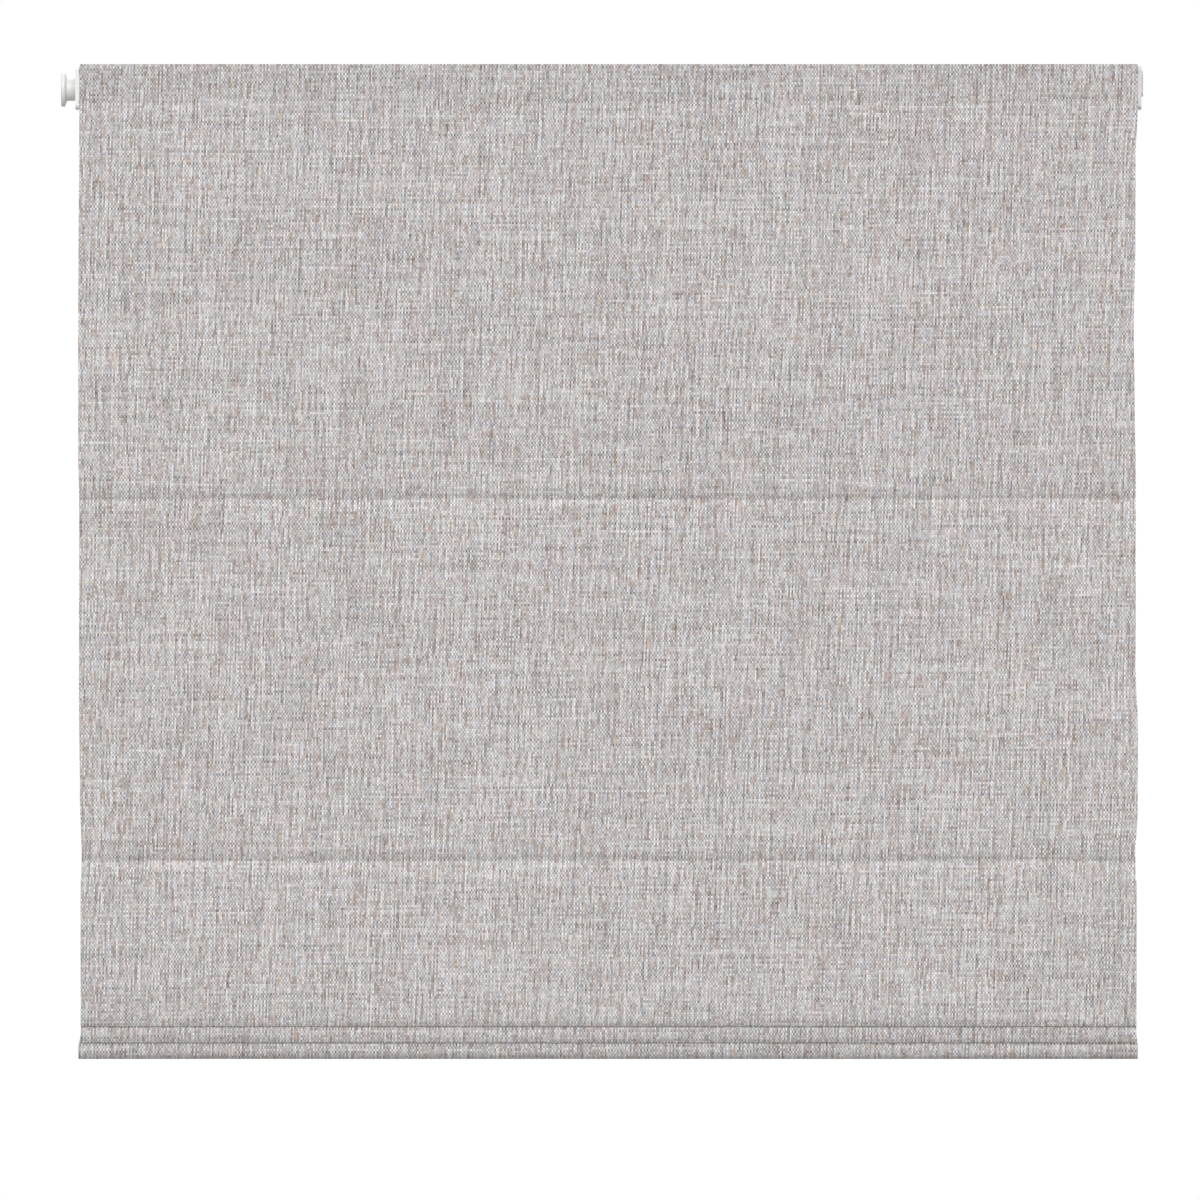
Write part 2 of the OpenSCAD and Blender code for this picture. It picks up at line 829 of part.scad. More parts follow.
fabric();
loop_tape();
hook_tape();
headrail();
control_end_plate();
idle_end_plate();
end_plate_screws();
wall_bracket(-bracket_x);  // wall_bracket_left
wall_bracket(bracket_x);  // wall_bracket_right
bracket_latch(-bracket_x);  // bracket_latch_left
bracket_latch(bracket_x);  // bracket_latch_right
cradle(lift_xs[0]);  // cradle_left
cradle(lift_xs[1]);  // cradle_middle
cradle(lift_xs[2]);  // cradle_right
control_wheel();
wheel_screw();
wrap_springs();
clutch_sleeve();
drive_shaft();
spool(lift_xs[0]);  // spool_left
spool(lift_xs[1]);  // spool_middle
spool(lift_xs[2]);  // spool_right
idle_journal();
rod(0);  // rod_1
rod(1);  // rod_2
rod(2);  // rod_3
rod(3);  // rod_4
rod_tape(0);  // rod_tape_1
rod_tape(1);  // rod_tape_2
rod_tape(2);  // rod_tape_3
rod_tape(3);  // rod_tape_4
rod_caps(0);  // rod_caps_1
rod_caps(1);  // rod_caps_2
rod_caps(2);  // rod_caps_3
rod_caps(3);  // rod_caps_4
cord_rings(0);  // cord_rings_1
cord_rings(1);  // cord_rings_2
cord_rings(2);  // cord_rings_3
cord_rings(3);  // cord_rings_4
hem_bar();
hem_bar_caps();
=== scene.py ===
"""Roman blind, drawn part of the way up, on a headrail with a control wheel."""
import json
import math

import bpy
import numpy as np
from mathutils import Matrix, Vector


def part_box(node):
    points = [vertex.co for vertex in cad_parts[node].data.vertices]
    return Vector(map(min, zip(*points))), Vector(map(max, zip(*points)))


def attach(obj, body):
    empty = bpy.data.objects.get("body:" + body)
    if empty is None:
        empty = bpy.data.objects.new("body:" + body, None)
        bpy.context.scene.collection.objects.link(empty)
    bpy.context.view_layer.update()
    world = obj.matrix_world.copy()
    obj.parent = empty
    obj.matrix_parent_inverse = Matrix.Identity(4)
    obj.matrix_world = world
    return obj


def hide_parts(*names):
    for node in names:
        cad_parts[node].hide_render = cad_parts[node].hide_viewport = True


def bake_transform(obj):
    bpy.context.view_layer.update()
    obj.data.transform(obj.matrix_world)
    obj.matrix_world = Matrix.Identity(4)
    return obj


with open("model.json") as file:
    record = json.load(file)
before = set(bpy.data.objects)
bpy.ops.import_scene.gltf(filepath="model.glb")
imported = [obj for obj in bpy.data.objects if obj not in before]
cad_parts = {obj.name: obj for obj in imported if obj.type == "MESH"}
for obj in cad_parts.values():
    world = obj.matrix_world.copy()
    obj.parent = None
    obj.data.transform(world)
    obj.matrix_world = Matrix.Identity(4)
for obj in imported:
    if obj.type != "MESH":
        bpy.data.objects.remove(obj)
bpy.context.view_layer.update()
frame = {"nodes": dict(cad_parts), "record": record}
nodes = frame["nodes"]
MM = 0.001

# Places taken from the CAD frame
cloth_low, cloth_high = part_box("fabric")
half_w = (cloth_high.x - cloth_low.x) / 2
top_z, bottom_z = cloth_high.z, cloth_low.z
hem_low, hem_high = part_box("hem_bar")


def middle(node):
    low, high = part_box(node)
    return (low + high) / 2


rods = [middle(f"rod_{i}") for i in (1, 2, 3, 4)]
# The middle of the cloth, half the CAD cloth in front of its loop tape
cad_half_t = 0.5 * MM
plane_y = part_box("loop_tape")[0].y - cad_half_t
# Depth below a rod where the cloth turns over: the seam of the rod's tape and a little room
tape_room = 0.8 * MM
seam_drop = rods[2].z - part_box("rod_tape_3")[0].z + tape_room
# Thickness of the cloth that is shown
cloth_t = 0.9 * MM


# Camera: a straight front view through a long lens
frame_share = 1.1332
frame_w = frame_share * 2 * half_w
camera_far, sensor = 16.0, 36.0
camera_x, camera_below_top = -8.0 * MM, 506.1 * MM
camera_data = bpy.data.cameras.new("Camera")
camera = bpy.data.objects.new("Camera", camera_data)
bpy.context.scene.collection.objects.link(camera)
camera_data.sensor_width = sensor
camera_data.lens = sensor * camera_far / frame_w
camera_data.clip_end = 100.0
camera.location = (camera_x, plane_y - camera_far, top_z - camera_below_top)
camera.rotation_euler = (math.pi / 2, 0, 0)
bpy.context.scene.camera = camera


# Small helpers for node trees

class Tree:
    """Adds nodes to one material."""

    def __init__(self, name):
        self.material = bpy.data.materials.new(name)
        self.material.use_nodes = True
        self.tree = self.material.node_tree
        self.tree.nodes.clear()
        self.out = self.tree.nodes.new("ShaderNodeOutputMaterial")
        self.shader = self.tree.nodes.new("ShaderNodeBsdfPrincipled")
        self.link(self.shader.outputs[0], self.out.inputs[0])

    def link(self, source, target):
        self.tree.links.new(source, target)

    def feed(self, socket, value):
        if isinstance(value, bpy.types.NodeSocket):
            self.link(value, socket)
        elif value is not None:
            socket.default_value = value

    def math(self, operation, a, b=None, c=None, clamp=False):
        node = self.tree.nodes.new("ShaderNodeMath")
        node.operation = operation
        node.use_clamp = clamp
        for socket, value in zip(node.inputs, (a, b, c)):
            self.feed(socket, value)
        return node.outputs[0]

    def times(self, a, b):
        return self.math("MULTIPLY", a, b)

    def vector(self, x=0.0, y=0.0, z=0.0):
        node = self.tree.nodes.new("ShaderNodeCombineXYZ")
        for socket, value in zip(node.inputs, (x, y, z)):
            self.feed(socket, value)
        return node.outputs[0]

    def split(self, vector):
        node = self.tree.nodes.new("ShaderNodeSeparateXYZ")
        self.link(vector, node.inputs[0])
        return node.outputs

    def noise(self, vector, scale=1.0, detail=2.0, roughness=0.5):
        node = self.tree.nodes.new("ShaderNodeTexNoise")
        self.link(vector, node.inputs["Vector"])
        node.inputs["Scale"].default_value = scale
        node.inputs["Detail"].default_value = detail
        node.inputs["Roughness"].default_value = roughness
        return node.outputs[0]

    def random(self, vector):
        node = self.tree.nodes.new("ShaderNodeTexWhiteNoise")
        node.noise_dimensions = "3D"
        self.link(vector, node.inputs["Vector"])
        return node.outputs["Value"]

    def ramp(self, value, stops):
        node = self.tree.nodes.new("ShaderNodeValToRGB")
        while len(node.color_ramp.elements) < len(stops):
            node.color_ramp.elements.new(0.5)
        for element, (place, colour) in zip(node.color_ramp.elements, stops):
            element.position = place
            element.color = (*linear(colour), 1)
        self.feed(node.inputs[0], value)
        return node.outputs[0]

    def spread(self, value, low, high, to_low=0.0, to_high=1.0):
        node = self.tree.nodes.new("ShaderNodeMapRange")
        node.interpolation_type = "SMOOTHSTEP"
        for i, v in enumerate((value, low, high, to_low, to_high)):
            self.feed(node.inputs[i], v)
        return node.outputs[0]

    def mix(self, factor, a, b, blend="MIX"):
        node = self.tree.nodes.new("ShaderNodeMix")
        node.data_type = "RGBA"
        node.blend_type = blend
        self.feed(node.inputs[0], factor)
        for socket, value in ((node.inputs[6], a), (node.inputs[7], b)):
            self.feed(socket, (*linear(value), 1) if isinstance(value, tuple) else value)
        return node.outputs[2]

    def bump(self, height, strength, distance):
        node = self.tree.nodes.new("ShaderNodeBump")
        node.inputs["Strength"].default_value = strength
        node.inputs["Distance"].default_value = distance
        self.link(height, node.inputs["Height"])
        self.link(node.outputs[0], self.shader.inputs["Normal"])

    def place(self):
        node = self.tree.nodes.new("ShaderNodeTexCoord")
        return node.outputs["Object"]

    def attribute(self, name):
        node = self.tree.nodes.new("ShaderNodeAttribute")
        node.attribute_name = name
        return node.outputs["Vector"]


def linear(colour):
    """An sRGB colour from 0 to 255 as linear light."""
    return tuple((c / 255 / 12.92) if c <= 10.3 else ((c / 255 + 0.055) / 1.055) ** 2.4 for c in colour)


# Linen-look cloth: a plain weave whose threads differ in shade along their length

# Millimetres: spacing of the warp and of the weft, and how far the threads wander from a ruled grid
WARP, WEFT, WANDER = 1.518, 2.205, 5.0
# Slant of the warp, and how fast the wandering changes along a thread and across the threads
SKEW, WANDER_ALONG, WANDER_ACROSS = 0.03, 0.006, 0.025
# Millimetres of thread with one shade, or with one tint of rust
PAIR_STRETCH, WARP_STRETCH, RUST_STRETCH = 15.0, 52.0, 8.0
WEFT_SHORT, WEFT_LONG = 40.0, 130.0
# How much a pair of warp threads differs, and how much a single one
PAIR_SHADE, SINGLE_SHADE = 1.3, 0.78
# How much each part of the weave counts in the shade; the ridge's part is painted shade, each thread darker
# at its sides
WARP_SHADE, WEFT_SHADE, TOP_SHADE = 0.19, 0.04, 0.12
CHECK_SHADE, SPECK_SHADE, RIDGE_PAINTED_SHADE, SLUB_SHADE = 0.27, 0.3, 0.12, 0.09
# Mean of a thread's ridge, and where the noise of the weft becomes a slub
RIDGE_MEAN, SLUB_FROM, SLUB_FULL = 0.64, 0.66, 0.8
# How fast the slubs change along a thread and from one to the next, and the warmth across and along the cloth
SLUB_ALONG, SLUB_NEXT = 0.014, 3.71
WARMTH_ACROSS, WARMTH_ALONG = 0.4, 0.16
# Millimetres below the top where the headrail's backing ends, and how much darker the cloth above is painted,
# as painted shade
BACKING_FROM, BACKING_END, BACKING_PAINTED_SHADE = 34.0, 37.0, 0.955
THREAD_COLOURS = [(0.0, (117, 112, 112.6)), (0.35, (177, 173, 173.6)), (0.55, (203, 200, 200.6)),
                  (0.8, (232, 230, 230.6)), (1.0, (249, 247, 246.6))]
RUST_TINTS = [(0.0, (250, 254, 255)), (0.5, (254, 253, 252)), (0.8, (253, 248, 245)), (1.0, (222, 202, 190))]
WARMTH_TINTS = [(0.3, (250, 251, 255)), (0.7, (254, 252, 246))]


def make_cloth():
    t = Tree("linen_cloth")
    x, s, _ = t.split(t.attribute("cloth"))
    x = t.math("MULTIPLY_ADD", s, SKEW, x)

    def drift(x_rate, s_rate, seed):
        """Noise over the cloth, with its rates of change across and along it."""
        return t.noise(t.vector(t.times(x, x_rate), t.times(s, s_rate), seed), detail=1.0)

    sway = drift(WANDER_ACROSS, WANDER_ALONG, seed=71.0)
    sag = drift(WANDER_ALONG, WANDER_ACROSS, seed=83.0)
    across = t.math("DIVIDE", t.math("MULTIPLY_ADD", sway, WANDER, x), WARP)
    down = t.math("DIVIDE", t.math("MULTIPLY_ADD", sag, WANDER, s), WEFT)
    warp, weft = t.math("FLOOR", across), t.math("FLOOR", down)
    over = t.math("MODULO", t.math("ADD", t.math("ABSOLUTE", warp), t.math("ABSOLUTE", weft)), 2.0)
    under = t.math("SUBTRACT", 1.0, over)

    def at_top(a, b):
        """What the warp shows where it lies on top, and what the weft shows elsewhere."""
        return t.math("MULTIPLY_ADD", over, a, t.times(under, b))

    def add(value, middle_value, amount, shade):
        return t.math("MULTIPLY_ADD", t.math("SUBTRACT", value, middle_value), amount, shade)

    def spun(thread, along, length, seed):
        """A shade for each stretch of a thread, which changes from one stretch to the next."""
        first = t.times(t.random(t.vector(thread, 0.5, seed)), 9.0)
        stretch = t.math("FLOOR", t.math("MULTIPLY_ADD", along, 1 / length, first))
        return t.random(t.vector(thread, stretch, seed))

    def rounded(thread_place):
        """0 at the sides of a thread and 1 along its middle."""
        return t.math("SINE", t.times(t.math("FRACT", thread_place), math.pi))

    # Every second warp thread is pale where its neighbour is dark
    pair = spun(t.math("FLOOR", t.times(warp, 0.5)), s, PAIR_STRETCH, seed=11.0)
    odd = t.math("MODULO", t.math("ABSOLUTE", warp), 2.0)
    side = t.math("MULTIPLY_ADD", odd, -2 * PAIR_SHADE, PAIR_SHADE)
    single = add(spun(warp, s, WARP_STRETCH, seed=17.0), 0.5, SINGLE_SHADE, 1.0)
    warp_shade = add(pair, 0.5, side, single)
    weft_shade = t.math("ADD", spun(weft, x, WEFT_SHORT, seed=23.0), spun(weft, x, WEFT_LONG, seed=29.0))
    speck = t.random(t.vector(warp, weft, 3.0))
    ridge = at_top(rounded(across), rounded(down))
    slub = t.noise(t.vector(t.times(x, SLUB_ALONG), t.times(weft, SLUB_NEXT), 21.0), detail=0.0)
    shade = add(at_top(warp_shade, weft_shade), 1.0, TOP_SHADE, 0.5)
    shade = add(warp_shade, 1.0, WARP_SHADE, shade)
    shade = add(weft_shade, 1.0, WEFT_SHADE, shade)
    shade = add(over, 0.5, CHECK_SHADE, shade)
    shade = add(speck, 0.5, SPECK_SHADE, shade)
    # Painted shade: each thread is darker at its sides and paler along its middle, as a round thread is lit
    shade = add(ridge, RIDGE_MEAN, RIDGE_PAINTED_SHADE, shade)
    shade = t.math("MULTIPLY_ADD", t.spread(slub, SLUB_FROM, SLUB_FULL), SLUB_SHADE, shade)
    colour = t.ramp(shade, THREAD_COLOURS)
    # Short dashes of single threads are rust-brown, and patches lean to yellow or to blue
    rust = t.ramp(spun(warp, s, RUST_STRETCH, seed=31.0), RUST_TINTS)
    colour = t.mix(t.math("MULTIPLY_ADD", over, 0.6, 0.4), colour, t.mix(1.0, colour, rust, "MULTIPLY"))
    warmth = t.ramp(drift(WARMTH_ACROSS, WARMTH_ALONG, seed=57.0), WARMTH_TINTS)
    colour = t.mix(1.0, colour, warmth, "MULTIPLY")
    # Painted shade: the band backed by the headrail lets no light through, so its colour is made darker
    dim = t.tree.nodes.new("ShaderNodeHueSaturation")
    t.link(t.spread(s, BACKING_FROM, BACKING_END, BACKING_PAINTED_SHADE, 1.0), dim.inputs["Value"])
    t.link(colour, dim.inputs["Color"])
    t.link(dim.outputs[0], t.shader.inputs["Base Color"])
    t.bump(ridge, 0.4, 0.25 * MM)
    t.shader.inputs["Roughness"].default_value = 0.92
    t.shader.inputs["Specular IOR Level"].default_value = 0.15
    t.shader.inputs["Sheen Weight"].default_value = 0.08
    t.shader.inputs["Sheen Roughness"].default_value = 0.5
    return t.material


# The cloth's line: depth behind its plane and height, from the top edge to the end of the hem

# A crease is a sharp hollow at its rod, in a wide and very shallow swelling
crease_d, hollow_d, hollow_reach, crease_reach = 3.0 * MM, 3.4 * MM, 4.0 * MM, 26 * MM
# A faint seam lies under the headrail
seam_below_top, seam_reach, seam_d = 36 * MM, 5 * MM, 0.3 * MM
# How far each lower edge hangs below the one in front
cascade = 15.5 * MM
edges = [bottom_z + 2 * cascade, bottom_z + cascade]
# Depth of the front fold behind the flat panels, the room between two folds, and the form of a lower edge
fold_back, layer_room = 3.2 * MM, 0.15 * MM
lip, edge_rise, edge_r, edge_steps = math.radians(30), 10.0 * MM, 0.5 * MM, 18
edge_back = edge_rise * math.tan(lip) / 2
turn_r = 1.5 * MM
rear_front = fold_back + edge_back + edge_r * (1 + math.cos(lip)) + cloth_t + layer_room
# The hem's pocket lies round its bar and close behind the rear fold
hem_bar_r = (hem_high.y - hem_low.y) / 2
hem_depth = (hem_low.y + hem_high.y) / 2 - plane_y
hem_room, hem_behind = 2.0 * MM, 2.6 * MM
hem_r = max(hem_bar_r + hem_room, hem_depth - rear_front - edge_back - hem_behind)
hem_front_r, hem_rise, hem_steps = 7 * MM, 11 * MM, 36
hem_high_z = hem_high.z - hem_bar_r


def dip(d, reach, depth):
    """A shallow hollow in the cloth."""
    return depth * 0.5 * (1 + math.cos(math.pi * d / reach)) if abs(d) < reach else 0.0


def cusp(d, reach, depth, soft=3.0 * MM):
    """A hollow that is steepest beside its seam."""
    return depth * math.exp((soft - math.hypot(d, soft)) / reach)


def arc(centre, r, start, stop, n):
    angles = [math.radians(start + (stop - start) * i / n) for i in range(n + 1)]
    return [(centre[0] + r * math.cos(a), centre[1] + r * math.sin(a)) for a in angles]


def slope(a, b, step=5 * MM, bow=0.0):
    """Points after a as far as b, bowed a little to the front."""
    n = max(2, round(math.dist(a, b) / step))
    across, down = b[0] - a[0], b[1] - a[1]
    shares = [i / n for i in range(1, n + 1)]
    return [(a[0] + across * f - bow * math.sin(math.pi * f), a[1] + down * f) for f in shares]


def drape(*knots):
    """Points after the first knot as far as the last: plumb at each knot, and easing across between them."""
    points = []
    for (d0, z0), (d1, z1) in zip(knots, knots[1:]):
        n = max(8, round(abs(z1 - z0) / (5 * MM)))
        shares = [i / n for i in range(1, n + 1)]
        points += [(d0 + (d1 - d0) * f * f * (3 - 2 * f), z0 + (z1 - z0) * f) for f in shares]
    return points


def lower_edge(front, z):
    """A fold's lower edge: its front leans back more and more, then the cloth turns up close behind it."""
    low = z + cloth_t / 2 + edge_r
    end = low - edge_r * math.sin(lip)
    shares = [i / edge_steps for i in range(edge_steps + 1)]
    curve = [(front + edge_back * f ** 2, end + edge_rise * (1 - f)) for f in shares]
    centre = (front + edge_back + edge_r * math.cos(lip), low)
    return curve, arc(centre, edge_r, 180 + math.degrees(lip), 360, 12)


def turn_centre(i):
    return rods[i].y - plane_y, rods[i].z - seam_drop - cloth_t / 2 - turn_r


def flat_depth(z):
    """Depth of the flat panels: a faint seam under the headrail and a crease at each rod."""
    d = dip(z - (top_z - seam_below_top), seam_reach, seam_d)
    for rod in rods[:2]:
        d += cusp(z - rod.z, hollow_reach, hollow_d) + dip(z - rod.z, crease_reach, crease_d - hollow_d)
    return d


# Where each flat panel folds when the blind is raised
first_below_middle = 12 * MM
mids = [(top_z + rods[0].z) / 2 - first_below_middle, (rods[0].z + rods[1].z) / 2]


def panel(z0, z1):
    """A flat stretch, with finer steps near seams."""
    points, z = [], z0
    while z > z1 + 0.4 * MM:
        points.append((flat_depth(z), z))
        near = min(abs(z - rods[0].z), abs(z - rods[1].z), abs(z - top_z + seam_below_top))
        z -= 0.7 * MM if near < 8 * MM else 1.5 * MM if near < 24 * MM else 4.0 * MM
    points.append((flat_depth(z1), z1))
    return points


front_curve, front_turn = lower_edge(fold_back, edges[0])
rear_curve, rear_turn = lower_edge(rear_front, edges[1])
third_turn = arc(turn_centre(2), turn_r, 180, 0, 16)
fourth_turn = arc(turn_centre(3), turn_r, 180, 0, 16)
third_z, fourth_z = third_turn[0][1], fourth_turn[0][1]
# These layers lie far enough forward to pass in front of the rods when the blind is let down
front_back = drape(front_turn[-1], (2.9 * MM, third_z - 60 * MM), (2.7 * MM, third_z - 14 * MM),
                   third_turn[0])
rear_face = drape(third_turn[-1], (5.0 * MM, third_z - 16 * MM), (5.2 * MM, third_z - 60 * MM),
                  rear_curve[0])
rear_back = drape(rear_turn[-1], (8.6 * MM, fourth_z - 50 * MM), (7.6 * MM, fourth_z - 16 * MM),
                  fourth_turn[0])
crease_end = panel(rods[1].z, rods[1].z - crease_reach)
front_face = slope(crease_end[-1], front_curve[0], bow=0.6 * MM)

# The flap hangs from the last rod, turns up round the hem bar and is sewn to itself above it
hem_front = hem_depth - hem_r
hem_fold = hem_front + cloth_t + 0.3 * MM
hem_sewn_z = hem_high_z + hem_r
hem_arc = []
for i in range(hem_steps + 1):
    a = math.pi * (1 + i / hem_steps)
    across_r = hem_front_r if i < hem_steps / 2 else 2 * hem_r - hem_front_r
    hem_arc.append((hem_front + hem_front_r + across_r * math.cos(a),
                    bottom_z + cloth_t / 2 + hem_rise * (1 + math.sin(a))))
hem_top = arc((hem_depth, hem_high_z), hem_r, 0, 60, 10)
flap_line = fourth_turn[8:]
flap_line += slope(flap_line[-1], (hem_front, hem_high_z + 24 * MM))
flap_line += slope(flap_line[-1], hem_arc[0]) + hem_arc[1:]
flap_line += slope(hem_arc[-1], hem_top[0]) + hem_top[1:]
for above in (4 * MM, 8 * MM):
    flap_line += slope(flap_line[-1], (hem_fold, hem_sewn_z + above), 1 * MM)

strips = [
    ("cloth_top_upper", panel(top_z, mids[0])),
    ("cloth_top_lower", panel(mids[0], rods[0].z)),
    ("cloth_second_upper", panel(rods[0].z, mids[1])),
    ("cloth_second_lower", panel(mids[1], rods[1].z)),
    ("cloth_front_fold", crease_end + front_face + front_curve[1:]),
    ("cloth_front_fold_back", front_turn + front_back + third_turn[1:9]),
    ("cloth_rear_fold", third_turn[8:] + rear_face + rear_curve[1:]),
    ("cloth_rear_fold_back", rear_turn + rear_back + fourth_turn[1:9]),
    ("cloth_flap", flap_line),
]

# One run along the whole line gives each point its distance and normal, so that the strips meet exactly
run, starts = [], []
for _, points in strips:
    starts.append(len(run) - (1 if run else 0))
    run += points[1:] if run else points
run = np.array(run)
step = np.linalg.norm(np.diff(run, axis=0), axis=1)
along = np.concatenate([[0], np.cumsum(step)])
heading = np.gradient(run, axis=0)
heading /= np.linalg.norm(heading, axis=1)[:, None]
normals = np.stack([heading[:, 1], -heading[:, 0]], axis=1)
held = np.array([along[starts[k]] for k in (2, 4, 6, 8)])
COLUMNS = 161
xs = np.linspace(-half_w, half_w, COLUMNS)

# Ripples: size, and rate and phase across and along the cloth
RIPPLE = 0.32 * MM
WAVES = [(1.0, 9.1, 0.4, 5.3, 1.0), (0.7, 17.3, 2.1, 11.9, 0.3), (0.5, 31.0, 4.0, 7.7, 2.2)]
# Metres over which they grow from a rod, and fade out below the second rod
GROW, FADE = 0.06, 0.1


def ripple(x, s):
    """Small unevenness of hanging cloth, none where it is sewn to a rod and none in the folds."""
    fixed = np.concatenate([[0.0], held])
    loose = np.clip(np.min(np.abs(s[:, None] - fixed[None, :]), axis=1) / GROW, 0, 1)
    calm = np.clip((held[1] + FADE - s) / FADE, 0, 1)
    wave = sum(size * np.outer(np.sin(s * s_rate + s_phase), np.sin(x * x_rate + x_phase))
               for size, x_rate, x_phase, s_rate, s_phase in WAVES)
    return RIPPLE * wave * (loose * loose * calm)[:, None]


# Side edges: distance along the cloth in metres, and how far the edge stands out in millimetres
left_edge = [(0, -0.8), (0.1, 0), (0.24, 0.8), (0.37, 0.8), (0.41, -0.2), (0.6, 0), (0.69, -0.8),
             (0.745, -2.4), (0.8, -1.6), (0.86, -1.7), (0.91, -1.4), (1.478, -1.4), (1.492, 1.0),
             (1.513, 1.0), (1.527, -1.4), (1.55, -1.4)]
right_edge = [(0, -0.2), (0.045, -0.4), (0.09, -2.2), (0.17, -2.4), (0.25, -4.0), (0.31, -3.2),
              (0.4, -2.0), (0.57, -2.2), (0.63, 0), (0.71, -0.3), (0.745, -2.4), (0.86, -1.4),
              (0.91, -1.2), (1.478, -1.2), (1.492, 0.4), (1.513, 0.4), (1.527, -1.2), (1.55, -1.2)]
# The power by which these offsets fade towards the middle of the cloth
SIDE_POWER = 6


def wander(s, knots):
    """Smooth steps from one offset to the next."""
    places, offsets = np.array(knots).T
    k = np.clip(np.searchsorted(places, s) - 1, 0, len(places) - 2)
    f = np.clip((s - places[k]) / (places[k + 1] - places[k]), 0, 1)
    return MM * (offsets[k] + (offsets[k + 1] - offsets[k]) * f * f * (3 - 2 * f))


cloth_material = make_cloth()


def cloth_strip(name, first, count):
    """A closed sheet for one stretch of the cloth's line."""
    line, normal, s = run[first:first + count], normals[first:first + count], along[first:first + count]
    lift = ripple(xs, s)
    side_weight = np.abs(xs / half_w) ** SIDE_POWER
    left = np.outer(wander(s, left_edge), side_weight * (xs < 0))
    right = np.outer(wander(s, right_edge), side_weight * (xs > 0))
    verts, coords = [], []
    for side in (1, -1):
        off = lift + side * cloth_t / 2
        y = plane_y + line[:, :1] + normal[:, :1] * off
        z = line[:, 1:] + normal[:, 1:] * off
        x = xs[None, :] - left + right
        verts.append(np.stack([x, y, z], axis=2).reshape(-1, 3))
        coords.append(np.stack([np.broadcast_to(xs[None, :] / MM, x.shape),
                                np.broadcast_to(s[:, None] / MM, x.shape),
                                np.full(x.shape, side * 1.0)], axis=2).reshape(-1, 3))
    verts, coords = np.concatenate(verts), np.concatenate(coords)
    grid = np.arange(count * COLUMNS).reshape(count, COLUMNS)
    back = grid + count * COLUMNS
    faces = []

    def quads(a, b, c, d):
        faces.extend(np.stack([a, b, c, d], axis=-1).reshape(-1, 4).tolist())

    quads(grid[:-1, :-1], grid[1:, :-1], grid[1:, 1:], grid[:-1, 1:])
    quads(back[:-1, :-1], back[:-1, 1:], back[1:, 1:], back[1:, :-1])
    quads(grid[:-1, 0], back[:-1, 0], back[1:, 0], grid[1:, 0])
    quads(grid[:-1, -1], grid[1:, -1], back[1:, -1], back[:-1, -1])
    quads(grid[0, :-1], grid[0, 1:], back[0, 1:], back[0, :-1])
    quads(grid[-1, :-1], back[-1, :-1], back[-1, 1:], grid[-1, 1:])
    mesh = bpy.data.meshes.new(name)
    mesh.from_pydata(verts.tolist(), [], faces)
    places = mesh.attributes.new("cloth", "FLOAT_VECTOR", "POINT")
    places.data.foreach_set("vector", coords.astype(np.float32).ravel())
    mesh.shade_smooth()
    mesh.set_sharp_from_angle(angle=math.radians(50))
    mesh.materials.append(cloth_material)
    piece = bpy.data.objects.new(name, mesh)
    bpy.context.scene.collection.objects.link(piece)
    return piece


pieces = {}
for k, (name, points) in enumerate(strips):
    pieces[name] = cloth_strip(name, starts[k], len(points))


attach(pieces["cloth_top_upper"], "headrail")
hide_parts("fabric")
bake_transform(pieces["cloth_top_lower"])
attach(pieces["cloth_second_upper"], "rod_1")
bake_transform(pieces["cloth_second_lower"])
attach(pieces["cloth_front_fold"], "rod_2")
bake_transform(pieces["cloth_front_fold_back"])
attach(pieces["cloth_rear_fold"], "rod_3")
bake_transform(pieces["cloth_rear_fold_back"])
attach(pieces["cloth_flap"], "rod_4")


# Hardware finishes

def make_moulding(name, colour, roughness=0.42, grain=260.0):
    t = Tree(name)
    p = t.place()
    tone = t.noise(p, 30.0, 3.0)
    dark, pale = tuple(c - 5 for c in colour), tuple(min(255, c + 2) for c in colour)
    t.link(t.mix(t.spread(tone, 0.3, 0.7), dark, pale), t.shader.inputs["Base Color"])
    rough = t.noise(p, 90.0, 4.0)
    t.link(t.spread(rough, 0.3, 0.7, roughness - 0.06, roughness + 0.08), t.shader.inputs["Roughness"])
    t.bump(t.noise(p, grain * 8, 2.0), 0.12, 0.05 * MM)
    t.shader.inputs["IOR"].default_value = 1.48
    return t.material


def make_metal(name, colour, roughness, stretch=(2.0, 220.0, 220.0)):
    t = Tree(name)
    x, y, z = t.split(t.place())
    places = [t.times(place, rate) for place, rate in zip((x, y, z), stretch)]
    grain = t.noise(t.vector(*places), 10.0, 4.0)
    t.link(t.mix(grain, tuple(c - 14 for c in colour), colour), t.shader.inputs["Base Color"])
    t.link(t.spread(grain, 0.2, 0.8, roughness - 0.08, roughness + 0.1), t.shader.inputs["Roughness"])
    t.shader.inputs["Metallic"].default_value = 1.0
    t.bump(grain, 0.08, 0.05 * MM)
    return t.material


def make_tape(name, colour, rib):
    t = Tree(name)
    x, y, z = t.split(t.place())
    lines = t.math("SINE", t.times(x, 2 * math.pi / rib))
    cross = t.math("SINE", t.times(t.math("ADD", y, z), 2 * math.pi / rib))
    weave = t.times(lines, cross)
    fuzz = t.noise(t.vector(x, y, z), 900.0, 2.0)
    dark = tuple(c - 22 for c in colour)
    t.link(t.mix(t.spread(weave, -1.0, 1.0), dark, colour), t.shader.inputs["Base Color"])
    t.bump(t.math("MULTIPLY_ADD", fuzz, 0.6, weave), 0.4, 0.15 * MM)
    t.shader.inputs["Roughness"].default_value = 0.9
    t.shader.inputs["Specular IOR Level"].default_value = 0.15
    return t.material


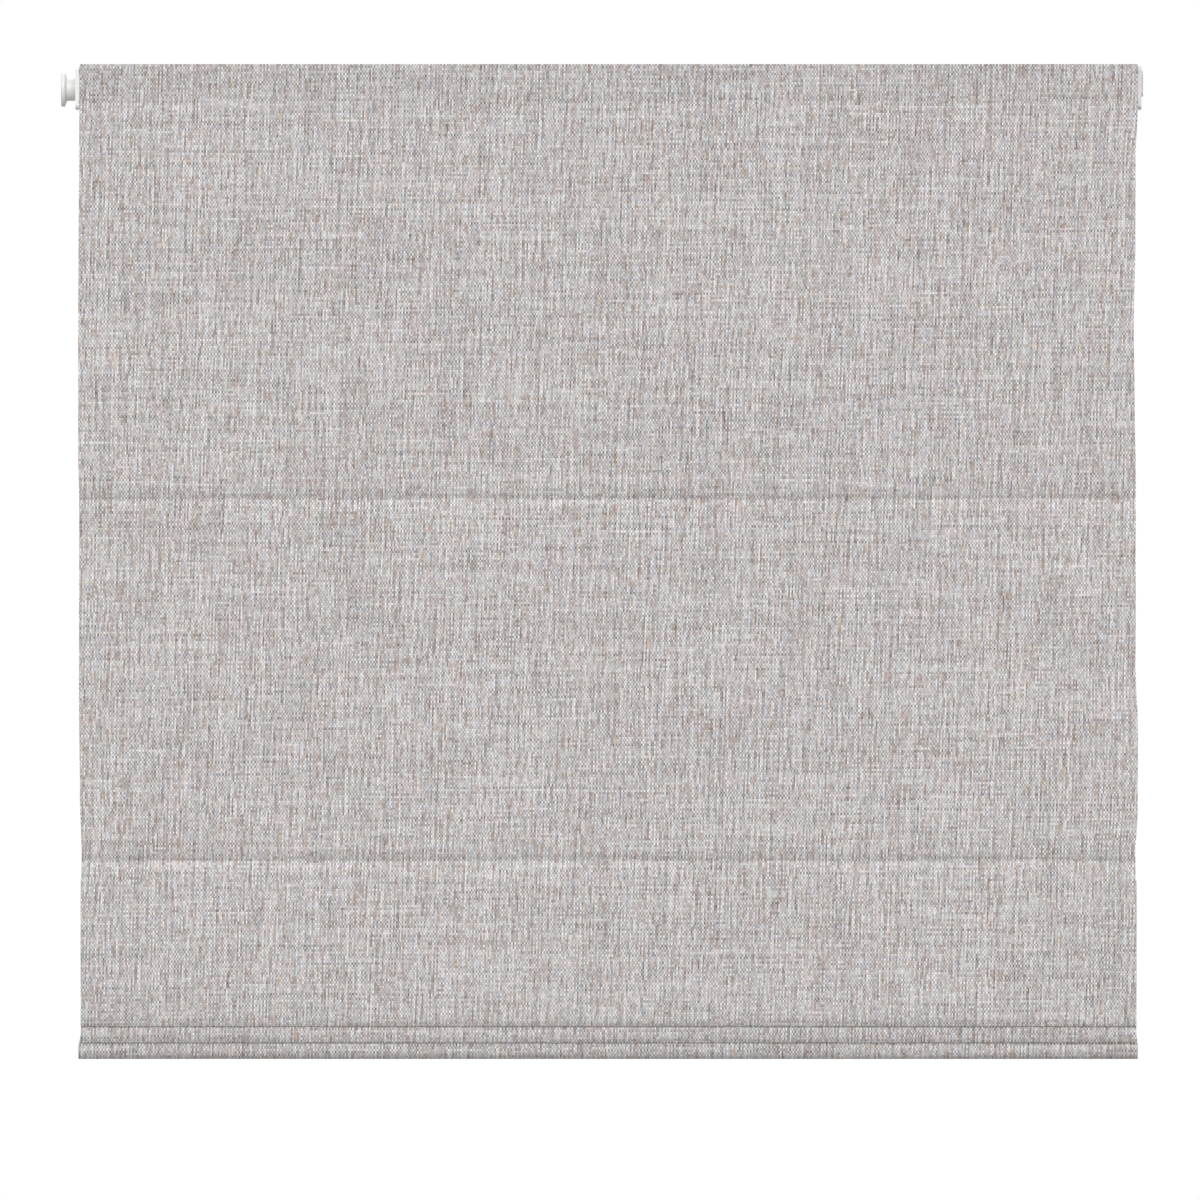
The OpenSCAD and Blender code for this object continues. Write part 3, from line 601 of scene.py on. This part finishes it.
white_moulding = make_moulding("white_moulding", (240, 240, 239))
wheel_white = make_moulding("wheel_white", (229, 229, 228), 0.4)
grey_moulding = make_moulding("grey_moulding", (213, 212, 211))
clear_moulding = make_moulding("ring_moulding", (226, 229, 231), 0.3)
rail_paint = make_moulding("rail_paint", (236, 236, 235), 0.38, 420.0)
rod_white = make_moulding("rod_white", (232, 231, 226), 0.3)
zinc = make_metal("zinc_steel", (190, 192, 194), 0.36)
mill = make_metal("mill_aluminium", (204, 206, 208), 0.4, (1.0, 160.0, 160.0))
white_tape = make_tape("white_tape", (232, 230, 226), 1.2 * MM)
hook_nylon = make_tape("hook_nylon", (228, 228, 226), 2.2 * MM)

finish_of = {
    "moulding": white_moulding, "wheel": wheel_white, "idle_plate": grey_moulding, "clear": clear_moulding,
    "rail": rail_paint, "bracket": rail_paint, "rod": rod_white, "steel": zinc, "hem_bar": mill,
    "tape": white_tape, "hook_tape": hook_nylon, "cloth": cloth_material,
}
slot_of = {s["node"]: s["material_slot"] for s in frame["record"]["subparts"]}
for name, node in nodes.items():
    node.data.materials.clear()
    node.data.materials.append(finish_of[slot_of[name]])


# Floor, world and lamps: floor and world look paler to the eye than the light that they throw

def seen_by_eye(tree):
    """1 for rays that see the surface straight, in a gloss or through glass."""
    path = tree.nodes.new("ShaderNodeLightPath")
    found = path.outputs["Is Camera Ray"]
    for other in ("Is Glossy Ray", "Is Transmission Ray"):
        node = tree.nodes.new("ShaderNodeMath")
        node.operation = "MAXIMUM"
        tree.links.new(found, node.inputs[0])
        tree.links.new(path.outputs[other], node.inputs[1])
        found = node.outputs[0]
    return found


floor_half, floor_below = 18, 0.8
floor_z = bottom_z - floor_below
corners = [(x * floor_half, y * floor_half, floor_z) for x, y in ((-1, -1), (1, -1), (1, 1), (-1, 1))]
floor_mesh = bpy.data.meshes.new("floor")
floor_mesh.from_pydata(corners, [], [(0, 1, 2, 3)])
floor = bpy.data.objects.new("floor", floor_mesh)
bpy.context.scene.collection.objects.link(floor)
floor_tree = Tree("pale_floor")
floor_tree.link(floor_tree.mix(seen_by_eye(floor_tree.tree), (148, 148, 147), (240, 240, 239)),
                floor_tree.shader.inputs["Base Color"])
floor_tree.shader.inputs["Roughness"].default_value = 0.9
floor_mesh.materials.append(floor_tree.material)

world = bpy.data.worlds.new("World")
bpy.context.scene.world = world
world.use_nodes = True
wt = world.node_tree
wt.nodes.clear()
choose = wt.nodes.new("ShaderNodeMixShader")
wt.links.new(seen_by_eye(wt), choose.inputs[0])
thrown, seen = 0.71, 1.0
for i, strength in ((1, thrown), (2, seen)):
    white = wt.nodes.new("ShaderNodeBackground")
    white.inputs["Color"].default_value = (1, 1, 1, 1)
    white.inputs["Strength"].default_value = strength
    wt.links.new(white.outputs[0], choose.inputs[i])
world_out = wt.nodes.new("ShaderNodeOutputWorld")
wt.links.new(choose.outputs[0], world_out.inputs[0])


def aim(lamp, place, target):
    lamp.location = place
    x, y, z = np.array(target) - np.array(place)
    lamp.rotation_euler = (math.acos(-z / math.sqrt(x * x + y * y + z * z)), 0, math.atan2(-x, y))


def add_lamp(name, kind, power):
    data = bpy.data.lights.new(name, kind)
    data.energy = power
    lamp = bpy.data.objects.new(name, data)
    bpy.context.scene.collection.objects.link(lamp)
    return lamp


key = add_lamp("key", "SUN", 1.67)
key.data.angle = 0.7
aim(key, (0.1, -3.0, 1.68), (0, 0, 0))
back = add_lamp("back", "AREA", 70)
back.data.shape = "RECTANGLE"
back.data.size, back.data.size_y = 3.0, 2.0
aim(back, (0.0, 3.0, 2.2), (0, 0, -0.5))

bpy.context.scene.view_settings.view_transform = "Standard"
